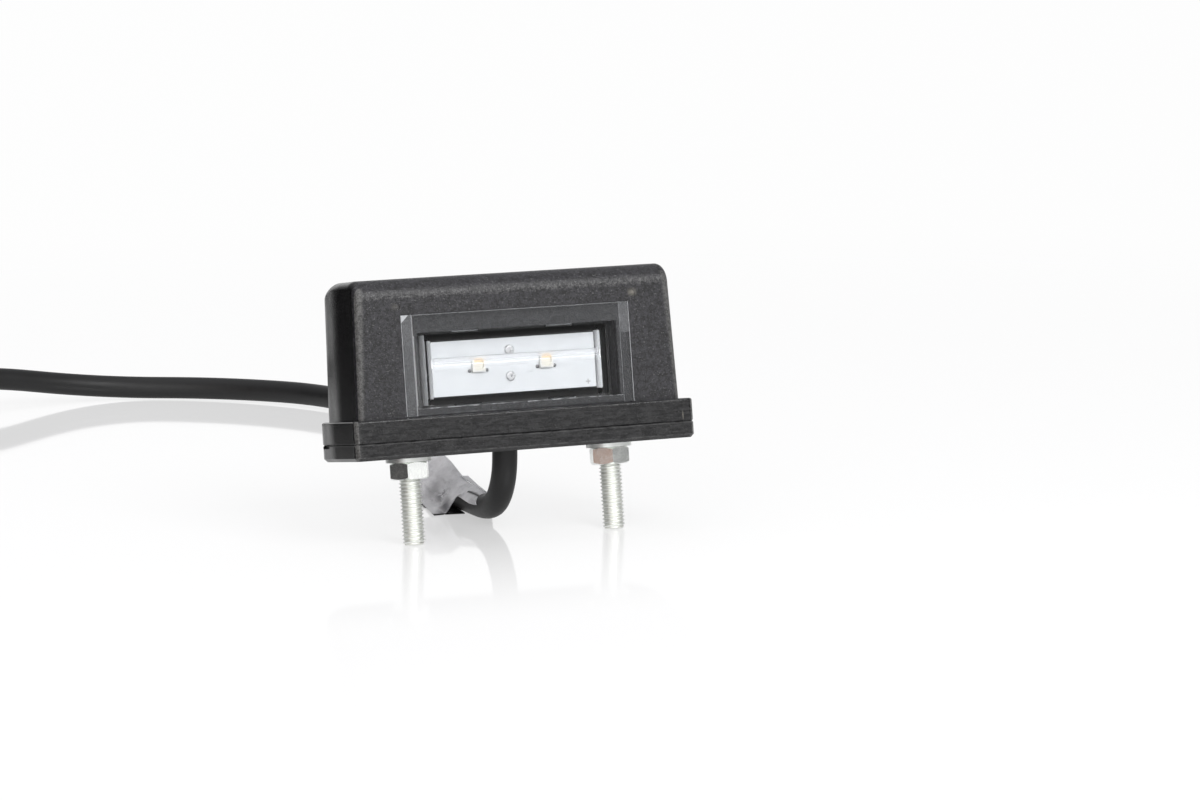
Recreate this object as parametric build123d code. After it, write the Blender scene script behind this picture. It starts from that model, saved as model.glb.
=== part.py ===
from build123d import *
import math
import os

# A number plate lamp: a black moulded hood on a base plate, a clear lens over a white board with two
# LEDs, two mounting bolts with washers and nuts, and a lead. Millimetres. The origin is midway between
# the bolts on the base's underside, +Z is up through the hood, X runs along the lamp, the lens is at -Y.

# Driving dimensions: bolts, washers and nuts
stud_spacing = 47.0
stud_reach = 19.0
thread_radius = 2.5
thread_pitch_radius = 2.24
thread_chamfer = 0.6
head_across_flats = 8.0
head_height = 3.5
head_seat = 2.4
nut_across_flats = 8.0
nut_height = 3.8
nut_turn_left = 5.5
nut_turn_right = 16.9
washer_radius = 5.0
washer_bore_radius = 2.65
washer_thickness = 1.0

# Driving dimensions: base plate
base_length = 79.0
base_depth = 29.0
base_front = 12.0
base_thickness = 3.6
base_chamfer = 0.7
seam_edge = 0.25
front_corner = 1.7
rear_corner = 9.0
bolt_hole_radius = 2.75
rim_thickness = 1.4
rim_clearance = 0.1
pry_notch_width = 5.0
pry_notch_y = 8.0

# Driving dimensions: housing
flange_height = 5.0
flange_edge = 0.5
hood_height = 38.6
front_step = 2.8
side_step = 1.8
rear_step = 0.8
hood_draft = 1.7
brow_radius = 4.2
roof_arch = 14.0
roof_flat_end = 4.0
hood_edge = 1.8
wall = 2.0
front_wall = 3.4
dimple_radius = 0.9
dimple_depth = 0.15

# Driving dimensions: lens
lens_width = 53.0
lens_height = 21.8
lens_plate = 1.8
lens_raise = 0.35
lens_end_strip = 2.4
lens_clearance = 0.1
side_ledge = 3.3
lower_ledge = 1.55
upper_ledge = 3.95
tub_wall = 1.3
tub_depth = 3.6
tub_end_gap = 2.15
tub_side_gap = 0.55
rib_radius = 2.2
rib_height = 0.4
rib_lift = 1.2
hook_width = 6.0
hook_spacing = 22.0
hook_reach = 1.2

# Driving dimensions: board and what it carries
board_thickness = 1.2
board_end_gap = 0.55
board_side_gap = 0.35
row_lift = 0.45
led_side = 3.0
led_height = 0.7
led_spacing = 15.8
led_shift = -0.3
led_cup_radius = 1.15
joint_spacing = 5.7
joint_x = -0.8
joint_radius = 1.05
joint_height = 0.55
pin_radius = 0.45
resistor_size = (3.2, 0.6, 1.6)
resistor_spacing = 14.0
diode_size = (4.3, 2.0, 2.6)
diode_x = -12.5
carrier_thickness = 2.0
carrier_margin = 1.0
carrier_side_margin = 2.2
carrier_window = (34.0, 10.0)
leg_width = 6.0
leg_spacing = 26.0

# Driving dimensions: lead
lean = 8.73
cable_radius = 2.8
cable_y = 2.5
core_radius = 0.7
strand_radius = 0.4
grommet_wall = 1.65
grommet_flange = 1.2
tape_thickness = 0.4
tape_start = 25.0
tape_opens = 31.0
tape_end = 52.0
tape_spread = 8.0
tape_right = 4.4
tape_low = 8.4
tape_high = 13.6
coil_radius = 29.0
tie_thickness = 0.5
tie_arc = 8.0
tail_run = 16.0
bared_core = 12.0
bared_strand = 5.0

# Levels and faces that several pieces share
base_rear = base_depth - base_front
flange_top = base_thickness + flange_height
front_y = front_step - base_front
lens_seat_y = front_y + lens_plate
ledge_back_y = front_y + front_wall
tub_back_y = lens_seat_y + tub_depth
board_front_y = tub_back_y - board_thickness
carrier_back_y = tub_back_y + carrier_thickness
lens_low = flange_top + 2 * lens_clearance
lens_high = lens_low + lens_height
window_low = lens_low + lower_ledge
window_high = lens_high - upper_ledge
window_z = (window_low + window_high) / 2
window_width = lens_width - 2 * side_ledge
tub_width = window_width - 2 * tub_end_gap
tub_height = window_high - window_low - 2 * tub_side_gap
board_width = tub_width - 2 * (tub_wall + board_end_gap)
board_height = tub_height - 2 * (tub_wall + board_side_gap)
row_z = window_z + row_lift
carrier_width = tub_width + 2 * carrier_side_margin
carrier_height = tub_height + 2 * carrier_margin
head_z = base_thickness + head_seat
nut_low = -washer_thickness - nut_height
sides = {"left": -1, "right": 1}


def block(width, y0, y1, z0, z1, x=0.0):
    """A box of the given width about x, from y0 to y1 and z0 to z1."""
    return Pos(x, (y0 + y1) / 2, (z0 + z1) / 2) * Box(width, y1 - y0, z1 - z0)


def rod(radius, y0, y1, x, z):
    """A round rod along Y."""
    return Pos(x, (y0 + y1) / 2, z) * Rot(90, 0, 0) * Cylinder(radius, y1 - y0)


def post(radius, z0, z1, x=0.0, y=0.0):
    """A round post along Z."""
    return Pos(x, y, (z0 + z1) / 2) * Cylinder(radius, z1 - z0)


def turned(points):
    """A solid of revolution about Z from corners given as radius and height."""
    return revolve(Plane.XZ * make_face(Polyline(*points, close=True)), Axis.Z)


def outline(inset):
    """The base's outline drawn in by inset: tight corners in front, wide ones behind."""
    depth = base_front + base_rear - 2 * inset
    sheet = Pos(0, (base_rear - base_front) / 2) * Rectangle(base_length - 2 * inset, depth)
    sheet = fillet(sheet.vertices().group_by(Axis.Y)[0], max(front_corner - inset, 0.8))
    return fillet(sheet.vertices().group_by(Axis.Y)[-1], rear_corner - inset)


def hood_block(inset, front):
    """The hood drawn in by inset: drafted sides and rear, an upright front at y = front, an arched roof."""
    rear = base_rear - rear_step - inset
    length = base_length - 2 * (side_step + inset)
    ahead = front - wall
    plan = Pos(0, (rear + ahead) / 2, base_thickness) * Rectangle(length, rear - ahead)
    plan = fillet(plan.vertices().group_by(Axis.Y)[-1], rear_corner - side_step - inset)
    drafted = extrude(plan, amount=hood_height, taper=hood_draft)

    low = base_thickness
    top = hood_height - inset
    run = rear - roof_flat_end
    arch = max(roof_arch - inset, 1.05 * run)
    centre_z = top - arch
    half_way = math.asin(run / arch) / 2
    middle = (roof_flat_end + arch * math.sin(half_way), centre_z + arch * math.cos(half_way))
    rear_z = centre_z + math.sqrt(arch**2 - run**2)
    arc = ThreePointArc((roof_flat_end, top), middle, (rear, rear_z))
    walls = Polyline((rear, rear_z), (rear, low), (front, low), (front, top), (roof_flat_end, top))
    side_view = make_face([*arc.edges(), *walls.edges()])
    brow = side_view.vertices().sort_by_distance((front, top, 0))[0]
    side_view = fillet(brow, max(brow_radius - inset, 1.0))
    return drafted & extrude(Plane.YZ * side_view, amount=base_length, both=True)


def make_housing():
    """Hood and flange in one moulding, hollow, with the lens rebate, its window and the carrier's guides."""
    hood = hood_block(0.0, front_y)
    roof = hood.faces().filter_by(Axis.Z).sort_by(Axis.Z)[-1]
    hood = fillet(roof.edges().sort_by(Axis.X)[0], hood_edge)

    flange = extrude(Pos(0, 0, base_thickness) * outline(0.0), amount=flange_height)
    flange = fillet(flange.faces().sort_by(Axis.Z)[-1].edges(), flange_edge)
    flange = chamfer(flange.faces().sort_by(Axis.Z)[0].edges(), seam_edge)
    recess = extrude(Pos(0, 0, base_thickness) * outline(wall), amount=flange_height - wall)
    cavity = hood_block(wall, ledge_back_y)
    body = hood + flange - recess - cavity

    c = lens_clearance
    body -= block(lens_width + 2 * c, front_y - 1, lens_seat_y, flange_top, lens_high + c)
    body -= block(window_width, front_y - 1, ledge_back_y + 1, window_low, window_high)
    for side in sides.values():
        mark_x = side * (lens_width / 2 + dimple_radius)
        mark_z = lens_high + 2 * dimple_radius
        body -= rod(dimple_radius, front_y - 1, front_y + dimple_depth, mark_x, mark_z)
        guide_x = side * (carrier_width / 2 + lens_clearance + tub_wall / 2)
        low = window_z - carrier_height / 2
        high = window_z + carrier_height / 2
        body += block(tub_wall, ledge_back_y - 0.5, carrier_back_y, low, high, guide_x)
    return body


def make_base_plate():
    """Plate with a locating rim, a pedestal and two anti-turn ribs for each bolt head, and a pry notch."""
    plate = extrude(outline(0.0), amount=base_thickness)
    plate = chamfer(plate.faces().sort_by(Axis.Z)[0].edges(), base_chamfer)
    plate = chamfer(plate.faces().sort_by(Axis.Z)[-1].edges(), seam_edge)
    rim = outline(wall + rim_clearance) - outline(wall + rim_clearance + rim_thickness)
    rim_height = flange_height - wall - 3 * rim_clearance
    plate += extrude(Pos(0, 0, base_thickness) * rim, amount=rim_height)
    rib_x = head_across_flats / 2 + rim_clearance + rim_thickness / 2
    for side in sides.values():
        x = side * stud_spacing / 2
        plate += post(head_across_flats * 0.65, 0, head_z, x)
        for turn in (-1, 1):
            rib = block(rim_thickness, -head_across_flats / 2, head_across_flats / 2,
                        base_thickness, head_z + head_height, x + turn * rib_x)
            plate += rib
        plate -= post(bolt_hole_radius, -1, head_z + 1, x)
    plate -= post(cable_radius + grommet_wall, -1, base_thickness + 1, 0, cable_y)
    notch_z = base_thickness - base_chamfer
    plate -= block(2 * base_chamfer, pry_notch_y - pry_notch_width / 2, pry_notch_y + pry_notch_width / 2,
                   notch_z, base_thickness + 1, -base_length / 2)
    return plate


def make_lens():
    """Clear plate with a raised field, a tub behind it, a low round rib and four snap hooks."""
    lens = block(lens_width, front_y, lens_seat_y, lens_low, lens_high)
    field = block(lens_width - 2 * lens_end_strip, front_y - lens_raise, front_y, lens_low, lens_high)
    field = chamfer(field.faces().sort_by(Axis.Y)[0].edges(), 0.6 * lens_raise)
    low = window_z - tub_height / 2
    high = window_z + tub_height / 2
    tub = block(tub_width, lens_seat_y, tub_back_y, low, high)
    tub -= block(tub_width - 2 * tub_wall, lens_seat_y, tub_back_y, low + tub_wall, high - tub_wall)
    rib = Pos(0, lens_seat_y + rib_height - rib_radius, window_z + rib_lift)
    rib = rib * Rot(0, 90, 0) * Cylinder(rib_radius, tub_width - tub_wall)
    rib &= block(tub_width, lens_seat_y, tub_back_y, low, high)
    lens = lens + field + tub + rib
    catch_y = ledge_back_y + lens_clearance
    for side in (-1, 1):
        root_z = window_z + side * tub_height / 2
        wedge = make_face(Polyline((catch_y, root_z - side * 0.2), (catch_y, root_z + side * hook_reach),
                                   (tub_back_y, root_z - side * 0.2), close=True))
        for x in (-hook_spacing / 2, hook_spacing / 2):
            lens += Pos(x, 0, 0) * extrude(Plane.YZ * wedge, amount=hook_width / 2, both=True)
    return lens


def make_board():
    """The white board, with a hole for each supply pin."""
    low = window_z - board_height / 2
    board = block(board_width, board_front_y, tub_back_y, low, low + board_height)
    for side in (-1, 1):
        z = row_z + side * joint_spacing / 2
        board -= rod(pin_radius, board_front_y - 1, tub_back_y + 1, joint_x, z)
    return board


def make_led(side):
    """A square LED with the shallow cup that holds its phosphor."""
    x = led_shift + side * led_spacing / 2
    top = board_front_y - led_height
    led = block(led_side, top, board_front_y, row_z - led_side / 2, row_z + led_side / 2, x)
    return led - rod(led_cup_radius, top - 1, top + led_height / 3, x, row_z)


def make_joint(side):
    """A solder dome on the board's front, on the supply pin that passes through the board."""
    z = row_z + side * joint_spacing / 2
    dome = rod(joint_radius, board_front_y - joint_height, board_front_y, joint_x, z)
    dome = fillet(dome.edges().sort_by(Axis.Y)[0], 0.7 * joint_height)
    return dome + rod(pin_radius, board_front_y, tub_back_y, joint_x, z)


def make_chip(size, x):
    """A part soldered to the back of the board, its size given along X, Y and Z."""
    width, depth, height = size
    return block(width, tub_back_y, tub_back_y + depth, window_z - height / 2, window_z + height / 2, x)


def make_carrier():
    """The frame behind board and tub, on two legs that stand on the base plate."""
    low = window_z - carrier_height / 2
    frame = block(carrier_width, tub_back_y, carrier_back_y, low, low + carrier_height)
    width, height = carrier_window
    frame -= block(width, tub_back_y - 1, carrier_back_y + 1, window_z - height / 2, window_z + height / 2)
    for side in sides.values():
        x = side * leg_spacing / 2
        frame += block(leg_width, tub_back_y, carrier_back_y, base_thickness, low + 1, x)
    return frame


def hexagon(across_flats, height, turn):
    """A hexagonal prism on the ground plane with both ends turned to a cone."""
    prism = extrude(RegularPolygon(across_flats / 2, 6, major_radius=False, rotation=turn), amount=height)
    corner = across_flats / math.sqrt(3)
    face = 0.475 * across_flats
    cut = (corner - face) * math.tan(math.radians(30))
    cone_ends = [(0, 0), (face, 0), (corner, cut), (corner, height - cut), (face, height), (0, height)]
    return prism & turned(cone_ends)


def make_bolt(side):
    """A hexagon bolt: head inside the base, threads at pitch size in the nut and at full size below it."""
    r = thread_radius
    shank = turned([(0, head_z), (thread_pitch_radius, head_z), (thread_pitch_radius, nut_low), (r, nut_low),
                    (r, thread_chamfer - stud_reach), (r - thread_chamfer, -stud_reach), (0, -stud_reach)])
    head = Pos(0, 0, head_z) * hexagon(head_across_flats, head_height, 30)
    return Pos(side * stud_spacing / 2, 0, 0) * (head + shank)


def make_washer(side):
    """A plain washer against the base's underside."""
    x = side * stud_spacing / 2
    return post(washer_radius, -washer_thickness, 0, x) - post(washer_bore_radius, -washer_thickness, 0, x)


def make_nut(side, turn):
    """A hexagon nut run up against its washer."""
    nut = hexagon(nut_across_flats, nut_height, turn) - post(thread_pitch_radius, -1, nut_height + 1)
    return Pos(side * stud_spacing / 2, 0, nut_low) * nut


def make_grommet():
    """The bush that seals the cable in the base, with a collar inside the lamp."""
    outer = cable_radius + grommet_wall
    bush = post(outer, 0, base_thickness, 0, cable_y)
    bush += post(outer + grommet_flange, base_thickness, base_thickness + grommet_flange, 0, cable_y)
    return bush - post(cable_radius, -1, base_thickness + grommet_flange + 1, 0, cable_y)


def rounded_path(points):
    """Straight runs joined by tangent arcs, each as large as its two runs allow, and the arcs' radii."""
    radii = []
    for before, here, after in zip(points, points[1:], points[2:]):
        arriving = here - before
        leaving = after - here
        half_turn = math.radians(arriving.get_angle(leaving)) / 2
        radii.append(0.45 * min(arriving.length, leaving.length) / math.tan(half_turn))
    return FilletPolyline(*points, radius=radii), radii


def tube(path, radius):
    """A round rod along a path."""
    return sweep(Plane(path @ 0, z_dir=path % 0) * Circle(radius), path)


# The table that the lamp was stood on, seen from the lamp: it touches the bolts' ends and rises behind,
# because the lamp leans back on its bolts and its lead. The lead's route is given on it, as distances
# along X, away behind the lamp, and up from the table.
table = Plane((0, 0, -stud_reach), x_dir=(1, 0, 0),
              z_dir=(0, -math.sin(math.radians(lean)), math.cos(math.radians(lean))))
taped_height = cable_radius + tape_thickness
drop = table.to_local_coords(Vector(0, cable_y, 0)).Z - taped_height
sheath_top = base_thickness + 0.4
exit_bend = [
    Vector(0, cable_y, sheath_top),
    Vector(0, cable_y, -0.17 * drop),
    Vector(0.2, cable_y + 0.33 * drop, -0.66 * drop),
]
coil_top = tie_thickness + (1 + math.sqrt(3)) * cable_radius
lying = [
    (0.4, 15.4, taped_height),
    (0.8, 28, taped_height),
    (1.5, 54, taped_height),
    (8, 99, cable_radius + 0.1),
    (25, 143, cable_radius + 0.25),
    (25, 186, cable_radius + 0.85),
    (5, 215.5, cable_radius + 0.35),
    (-25, 231.5, cable_radius + 0.25),
    (-61, 224, coil_top + 1.5),
    (-92, 217, coil_top + 0.75),
    (-124, 207.5, coil_top + 0.4),
]
route = exit_bend + [table.from_local_coords(Vector(*point)) for point in lying]
cable_path, cable_radii = rounded_path(route)

# The coil lies beyond the picture's left edge. The route's last run climbs on to it and becomes its top turn.
last_run = Vector(*lying[-1]) - Vector(*lying[-2])
heading = math.degrees(math.atan2(last_run.Y, last_run.X))
to_centre = math.radians(heading + 90)
coil_x = lying[-1][0] + coil_radius * math.cos(to_centre)
coil_y = lying[-1][1] + coil_radius * math.sin(to_centre)
coil_seat = table * Pos(coil_x, coil_y, 0)

# The free end leaves the coil a quarter turn past the place where the cable came in.
tail_way = Vector(math.cos(math.radians(heading + 90)), math.sin(math.radians(heading + 90)), 0)
bent_way = tail_way.rotate(Axis.Z, -12)
tail_start = Vector(coil_radius + 3 * cable_radius, 0, cable_radius).rotate(Axis.Z, heading)
tail_bend = tail_start + tail_way * tail_run
tail_end = tail_bend + bent_way * tail_run
tail_path, tail_radii = rounded_path([tail_start, tail_bend, tail_end])


def make_tape(cable):
    """A tent of grey tape round the cable: close in front, open and higher behind."""
    close_left = cable_radius
    close_right = cable_radius + 3 * tape_thickness
    close_top = 2 * taped_height
    ridge_right = 0.75 * tape_right
    ridge_left = 0.3 * tape_right
    near = [(-close_left, 0), (close_right, 0), (close_right, close_top), (-close_left, close_top)]
    middle = [(-tape_spread, 0), (tape_right, 0), (ridge_right, tape_low), (-ridge_left, tape_low)]
    far = [(-tape_spread, 0), (tape_right, 0), (ridge_right, tape_high), (-ridge_left, tape_high)]
    sections = []
    for distance, corners in ((tape_start, near), (tape_opens, middle), (tape_end, far)):
        upright = table * Plane((0, distance, 0), x_dir=(1, 0, 0), z_dir=(0, -1, 0))
        sections.append(upright * make_face(Polyline(*corners, close=True)))
    return loft(sections, ruled=True) - cable


def bundle():
    """The section of three cables lying together, as radius and height in the coil."""
    layer = 2 * cable_radius
    top = tie_thickness + layer + math.sqrt(3) * cable_radius
    shape = make_face(Polyline((coil_radius - layer, tie_thickness), (coil_radius + layer, tie_thickness),
                               (coil_radius + 1.1 * cable_radius, top),
                               (coil_radius - 1.1 * cable_radius, top), close=True))
    return fillet(shape.vertices(), 0.85 * cable_radius)


def make_coil():
    """One ring with the outer shape of the coil's turns."""
    return coil_seat * revolve(Plane.XZ * bundle(), Axis.Z)


def make_tie():
    """A flat band round the coil's turns, on the side away from where the cable comes in."""
    band = offset(bundle(), amount=tie_thickness) - bundle()
    ring = revolve(Plane.XZ * band, Axis.Z, revolution_arc=tie_arc)
    return coil_seat * Rot(0, 0, heading + 90 - tie_arc / 2) * ring


def make_bared_core(side):
    """An insulated core out of the cable's free end, low in its sheath, with its strands bared at the tip."""
    across = bent_way.rotate(Axis.Z, 90) * (side * 1.15 * core_radius)
    start = tail_end + across - Vector(0, 0, 2.4 * core_radius)
    seat = Plane(start, z_dir=bent_way)
    sleeve = seat * Pos(0, 0, bared_core / 2) * Cylinder(core_radius, bared_core)
    strand = seat * Pos(0, 0, bared_core + bared_strand / 2) * Cylinder(strand_radius, bared_strand)
    return coil_seat * (sleeve + strand)


def make_core(side):
    """An insulated core from the cable's end up to the back of its solder joint."""
    z = row_z - side * joint_spacing / 2
    x = side * 1.5 * core_radius
    points = [
        Vector(x, cable_y, sheath_top),
        Vector(x, cable_y, z - 4),
        Vector(joint_x, cable_y - 2, z),
        Vector(joint_x, tub_back_y, z),
    ]
    path, radii = rounded_path(points)
    return tube(path, core_radius)


cable = tube(cable_path, cable_radius)
parts = {
    "housing": make_housing(),
    "base_plate": make_base_plate(),
    "lens": make_lens(),
    "board_carrier": make_carrier(),
    "led_board": make_board(),
    "diode": make_chip(diode_size, diode_x),
    "solder_joint_upper": make_joint(1),
    "solder_joint_lower": make_joint(-1),
    "core_positive": make_core(-1),
    "core_negative": make_core(1),
    "nut_left": make_nut(-1, nut_turn_left),
    "nut_right": make_nut(1, nut_turn_right),
    "cable_grommet": make_grommet(),
    "cable": cable,
    "cable_tape": make_tape(cable),
    "cable_coil": make_coil(),
    "coil_tie": make_tie(),
    "cable_tail": coil_seat * tube(tail_path, cable_radius),
    "tail_core_positive": make_bared_core(-1),
    "tail_core_negative": make_bared_core(1),
}
for name, side in sides.items():
    parts[f"led_{name}"] = make_led(side)
    parts[f"resistor_{name}"] = make_chip(resistor_size, side * resistor_spacing / 2)
    parts[f"bolt_{name}"] = make_bolt(side)
    parts[f"washer_{name}"] = make_washer(side)

os.makedirs("parts", exist_ok=True)
for name, shape in parts.items():
    export_step(shape, f"parts/{name}.step")
    print(name, "solids", len(shape.solids()), "volume", round(shape.volume, 2))

print("cable arc radii", [round(r, 1) for r in cable_radii], "tail", [round(r, 1) for r in tail_radii])
section = math.pi * cable_radius**2
print("tube length", round(cable_path.length, 1), "volume over section", round(cable.volume / section, 1))
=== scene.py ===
# %% [markdown]
# # A number plate lamp
# A small lamp lights the number plate of a trailer: a black moulded hood, a clear lens over two LEDs, two
# bolts that hold it to a bracket, and a lead. The solids come from CAD. This lesson gives them their looks.

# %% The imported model
import math

import bpy
import numpy as np
from mathutils import Matrix, Vector


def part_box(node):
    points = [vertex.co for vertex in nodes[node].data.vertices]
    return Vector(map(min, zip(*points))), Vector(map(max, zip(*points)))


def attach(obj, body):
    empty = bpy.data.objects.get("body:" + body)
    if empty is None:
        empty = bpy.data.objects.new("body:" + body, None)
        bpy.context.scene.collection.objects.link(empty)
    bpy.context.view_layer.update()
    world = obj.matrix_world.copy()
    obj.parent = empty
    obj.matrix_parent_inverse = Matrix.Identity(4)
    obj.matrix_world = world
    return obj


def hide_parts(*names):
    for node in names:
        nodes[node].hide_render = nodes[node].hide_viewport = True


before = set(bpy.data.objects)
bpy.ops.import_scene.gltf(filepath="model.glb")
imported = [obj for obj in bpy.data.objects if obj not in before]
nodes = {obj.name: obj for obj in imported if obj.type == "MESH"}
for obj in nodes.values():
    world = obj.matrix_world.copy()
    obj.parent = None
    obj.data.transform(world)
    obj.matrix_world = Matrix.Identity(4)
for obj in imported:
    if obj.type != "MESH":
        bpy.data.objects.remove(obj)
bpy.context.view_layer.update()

scene = bpy.context.scene
MM = 0.001

# %% [markdown]
# ## The table
# The lamp can't stand upright on its two bolts alone, so on the table it leans back until its bent lead
# carries it. The model keeps the lamp upright in its own frame, and the table is tilted instead. A point on
# the table is given by three distances: along X, away behind the lamp, and up from the table.

# %% Points on the table
LEAN = math.radians(8.73)
STUD_REACH = 19.0


def on_table(along, back, up):
    """Turns distances on the table, in mm, by the lean and drops them to the bolts' ends, in metres."""
    along, back, up = np.broadcast_arrays(along, back, up)
    y = back * math.cos(LEAN) - up * math.sin(LEAN)
    z = back * math.sin(LEAN) + up * math.cos(LEAN) - STUD_REACH
    return np.stack([along, y, z], axis=-1) * MM


print("table 100 mm behind the lamp", on_table(0, 100, 0).round(4))

# %% [markdown]
# ## The camera
# The photograph was taken from a metre off, a little to the left, with a long lens. The camera's place was
# fitted to the lamp's straight edges, so it is given by numbers, on the table, and not by eye.

# %% Camera
IMAGE_WIDTH = 1200
FOCAL_PIXELS = 4804.0
CAMERA_SPOT = (-380.1, -960.8, 188.8)
CAMERA_PAN = 0.39491
CAMERA_DIP = 0.15255
CAMERA_ROLL = -0.00861


def table_direction(along, back, up):
    """A direction given on the table, in the lamp's frame."""
    return Vector(on_table(along, back, up) - on_table(0, 0, 0)).normalized()


def photo_camera():
    """A camera whose axes are the pan, dip and roll of the photograph, as the columns of its matrix."""
    sin_pan, cos_pan = math.sin(CAMERA_PAN), math.cos(CAMERA_PAN)
    sin_dip, cos_dip = math.sin(CAMERA_DIP), math.cos(CAMERA_DIP)
    forward = table_direction(sin_pan * cos_dip, cos_pan * cos_dip, -sin_dip)
    level = table_direction(cos_pan, -sin_pan, 0)
    right = level * math.cos(CAMERA_ROLL) + level.cross(forward) * math.sin(CAMERA_ROLL)
    up = right.cross(forward)
    data = bpy.data.cameras.new("camera")
    data.sensor_width = 36.0
    data.lens = FOCAL_PIXELS * data.sensor_width / IMAGE_WIDTH
    data.clip_start = 0.05
    data.clip_end = 50.0
    camera = bpy.data.objects.new("camera", data)
    axes = Matrix((right, up, -forward)).transposed().to_4x4()
    camera.matrix_world = Matrix.Translation(Vector(on_table(*CAMERA_SPOT))) @ axes
    scene.collection.objects.link(camera)
    scene.camera = camera
    return camera


camera = photo_camera()
print("lens", round(camera.data.lens, 1), "mm at", [round(x, 3) for x in camera.location])

# %% [markdown]
# ## The lead
# The lead is a round two-core cable, 5.6 mm thick and a metre long. It leaves the base, bends under the lamp,
# runs off behind it and turns left. The photograph loses it at its left edge, so the rest is put away as a
# coil with a tie just outside the picture. One smooth curve with a round bevel holds all of it.

# %% Route of the lead
CABLE_RADIUS = 2.8
CABLE_Y = 2.5
SHEATH_TOP = 4.0
TAPED = CABLE_RADIUS + 0.4
TIE_THICKNESS = 0.5
COIL_TOP = TIE_THICKNESS + (1 + math.sqrt(3)) * CABLE_RADIUS
DROP = STUD_REACH * math.cos(LEAN) - CABLE_Y * math.sin(LEAN) - TAPED
EXIT_BEND = [(0, CABLE_Y, SHEATH_TOP), (0, CABLE_Y, -0.17 * DROP), (0.2, CABLE_Y + 0.33 * DROP, -0.66 * DROP)]
LYING = [
    (0.4, 15.4, TAPED + 0.5), (0.8, 28, TAPED), (2, 54, TAPED), (16, 96, CABLE_RADIUS + 0.1),
    (29, 141, CABLE_RADIUS + 0.25), (26, 186, CABLE_RADIUS + 0.85), (5, 215.5, CABLE_RADIUS + 0.35),
    (-25, 231.5, CABLE_RADIUS + 0.25), (-61, 224, COIL_TOP + 1.5), (-92, 217, COIL_TOP + 0.75),
    (-124, 207.5, COIL_TOP + 0.4),
]
COIL_RADIUS = 29.0
COIL_TURNS = 3.25
POINTS_PER_TURN = 20
TAIL_RUN = 16.0
TAIL_BEND = math.radians(-12)


def unit(angle):
    """A step of length 1 on the table, at an angle from X."""
    return np.array([math.cos(angle), math.sin(angle)])


heading = math.atan2(LYING[-1][1] - LYING[-2][1], LYING[-1][0] - LYING[-2][0])
inward = heading + math.pi / 2
coil_centre = np.array(LYING[-1][:2]) + COIL_RADIUS * unit(inward)
tail_radius = COIL_RADIUS + 3 * CABLE_RADIUS


def coil_points():
    """Points on a spiral whose radius and height are read, by turns, from a table of places.

    The turns lie on top, then below inside, then below outside, a cable's width apart so that they touch. The
    last quarter turn leaves beside the others.
    """
    low = CABLE_RADIUS + TIE_THICKNESS
    inner, outer = COIL_RADIUS - CABLE_RADIUS, COIL_RADIUS + CABLE_RADIUS
    places = np.array([
        (0.0, COIL_RADIUS, LYING[-1][2]), (0.1, COIL_RADIUS, COIL_TOP), (0.82, COIL_RADIUS, COIL_TOP),
        (0.91, inner - 0.75, COIL_TOP - 0.5), (0.955, inner - 1.15, low + 2.0), (1.0, inner, low),
        (1.82, inner, low), (1.91, COIL_RADIUS, low), (2.0, outer, low), (2.82, outer, low),
        (2.91, outer + CABLE_RADIUS, low), (3.0, tail_radius, CABLE_RADIUS + 0.1),
        (COIL_TURNS, tail_radius, CABLE_RADIUS),
    ])
    turns, radii, heights = places.T
    turn = np.arange(1, int(COIL_TURNS * POINTS_PER_TURN) + 1) / POINTS_PER_TURN
    radius = np.interp(turn, turns, radii)
    height = np.interp(turn, turns, heights)
    angle = heading - math.pi / 2 + 2 * math.pi * turn
    return on_table(coil_centre[0] + radius * np.cos(angle), coil_centre[1] + radius * np.sin(angle), height)


tail_way = unit(inward + TAIL_BEND)
tail_bend = coil_centre + tail_radius * unit(heading) + TAIL_RUN * unit(inward)
tail_end = tail_bend + TAIL_RUN * tail_way
free_end = on_table(*np.array([(*tail_bend, CABLE_RADIUS), (*tail_end, CABLE_RADIUS)]).T)
route = np.vstack([np.array(EXIT_BEND) * MM, on_table(*np.array(LYING).T), coil_points(), free_end])
print("route points", len(route))


# %% The cable's curve
def make_cable():
    """A NURBS line led by the route's control points, with a round section."""
    curve = bpy.data.curves.new("lead_cable", "CURVE")
    curve.dimensions = "3D"
    spline = curve.splines.new("NURBS")
    spline.points.add(len(route) - 1)
    spline.points.foreach_set("co", np.column_stack([route, np.ones(len(route))]).ravel())
    spline.points.foreach_set("radius", np.full(len(route), CABLE_RADIUS * MM))
    spline.order_u = 3
    spline.use_endpoint_u = True
    spline.resolution_u = 10
    curve.bevel_depth = 1.0
    curve.bevel_resolution = 10
    curve.use_fill_caps = True
    cable = bpy.data.objects.new("lead_cable", curve)
    scene.collection.objects.link(cable)
    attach(cable, "root")
    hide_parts("cable", "cable_coil", "cable_tail")
    return cable


cable = make_cable()
print("cable made")

# %% [markdown]
# ## Bolts with real threads
# Each bolt is an M5 hexagon bolt. Its free thread is in plain view, so it is modelled and not painted. A
# thread could be cut by a screw modifier, but a grid over angle and height says it in one formula: the radius
# falls away from a crest that climbs one pitch for each turn. The same grid goes on into the hexagon head.

# %% Grids made into pieces
def ring_angles(columns):
    """The angles of evenly spaced points round a ring."""
    return np.arange(columns) * 2 * math.pi / columns


def grid_faces(rows, columns, first=0, closed=False):
    """Four-sided faces between neighbouring points of a grid, joined round its columns where it is closed."""
    spare = 0 if closed else 1
    i, j = np.meshgrid(np.arange(rows - 1), np.arange(columns - spare), indexing="ij")
    right = (j + 1) % columns
    corners = [i * columns + j, i * columns + right, (i + 1) * columns + right, (i + 1) * columns + j]
    return first + np.stack(corners, axis=-1).reshape(-1, 4)


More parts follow.
